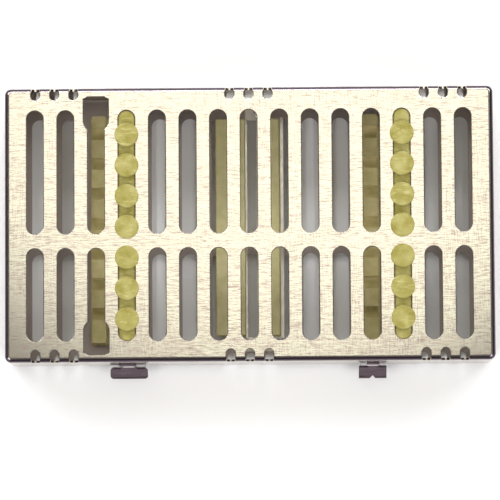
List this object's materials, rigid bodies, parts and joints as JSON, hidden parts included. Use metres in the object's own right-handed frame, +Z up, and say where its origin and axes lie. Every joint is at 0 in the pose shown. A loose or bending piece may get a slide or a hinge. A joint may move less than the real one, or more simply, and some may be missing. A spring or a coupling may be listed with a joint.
{
  "type": "perforated instrument cassette",
  "caption": "Perforated steel clamshell cassette with silicone rails that hold hand instruments during cleaning and steam sterilising, hinged at the back and latched in front.",
  "frame": {"origin": "middle of the bounding box on the surface that the cassette stands on", "axes": "+X along the long side, +Y from the latches at the front to the hinges at the back, +Z up out of the lid"},
  "size_m": [0.203, 0.1221, 0.0344],
  "materials": {
    "lid_steel": "fine wavy hairline brushing, deburred slot edges",
    "base_steel": "fine wavy hairline brushing, deburred slot edges",
    "bracket_steel": "satin",
    "hinge_steel": "satin",
    "pin_steel": "drawn, smooth",
    "rivet_steel": "smooth",
    "latch_steel": "dark satin spring steel",
    "mount_steel": "satin",
    "lid_silicone": "matte lime-olive silicone with faint scuffs",
    "base_silicone": "matte lime-olive silicone",
    "pad_silicone": "matte lime-olive silicone"
  },
  "bodies": {
    "base": {"base_tray": "base_steel", "base_rail_left": "base_silicone", "base_rail_right": "base_silicone", "centre_pad_left": "pad_silicone", "centre_pad_right": "pad_silicone", "centre_bracket": "bracket_steel", "bracket_rivets": "rivet_steel", "hinge_leaf_base_left": "hinge_steel", "hinge_leaf_base_right": "hinge_steel", "hinge_pin_left": "pin_steel", "hinge_pin_right": "pin_steel", "base_hinge_rivets": "rivet_steel", "catch_left": "mount_steel", "catch_right": "mount_steel", "catch_rivets": "rivet_steel"},
    "lid": {"lid_tray": "lid_steel", "lid_rail_left": "lid_silicone", "lid_rail_right": "lid_silicone", "hinge_leaf_lid_left": "hinge_steel", "hinge_leaf_lid_right": "hinge_steel", "lid_hinge_rivets": "rivet_steel", "latch_mount_left": "mount_steel", "latch_mount_right": "mount_steel", "latch_pin_left": "pin_steel", "latch_pin_right": "pin_steel", "latch_mount_rivets": "rivet_steel"},
    "latch_left": {"latch_left": "latch_steel"},
    "latch_right": {"latch_right": "latch_steel"}
  },
  "joints": [
    {"name": "lid_hinge", "type": "hinge", "parent": "base", "child": "lid", "pos_m": [0, 0.05925, 0.0172], "axis": [-1, 0, 0], "range_deg": [0, 180]},
    {"name": "latch_left_hinge", "type": "hinge", "parent": "lid", "child": "latch_left", "pos_m": [-0.0512, -0.0552, 0.0188], "axis": [-1, 0, 0], "range_deg": [0, 100]},
    {"name": "latch_right_hinge", "type": "hinge", "parent": "lid", "child": "latch_right", "pos_m": [0.0511, -0.0552, 0.0188], "axis": [-1, 0, 0], "range_deg": [0, 100]}
  ]
}
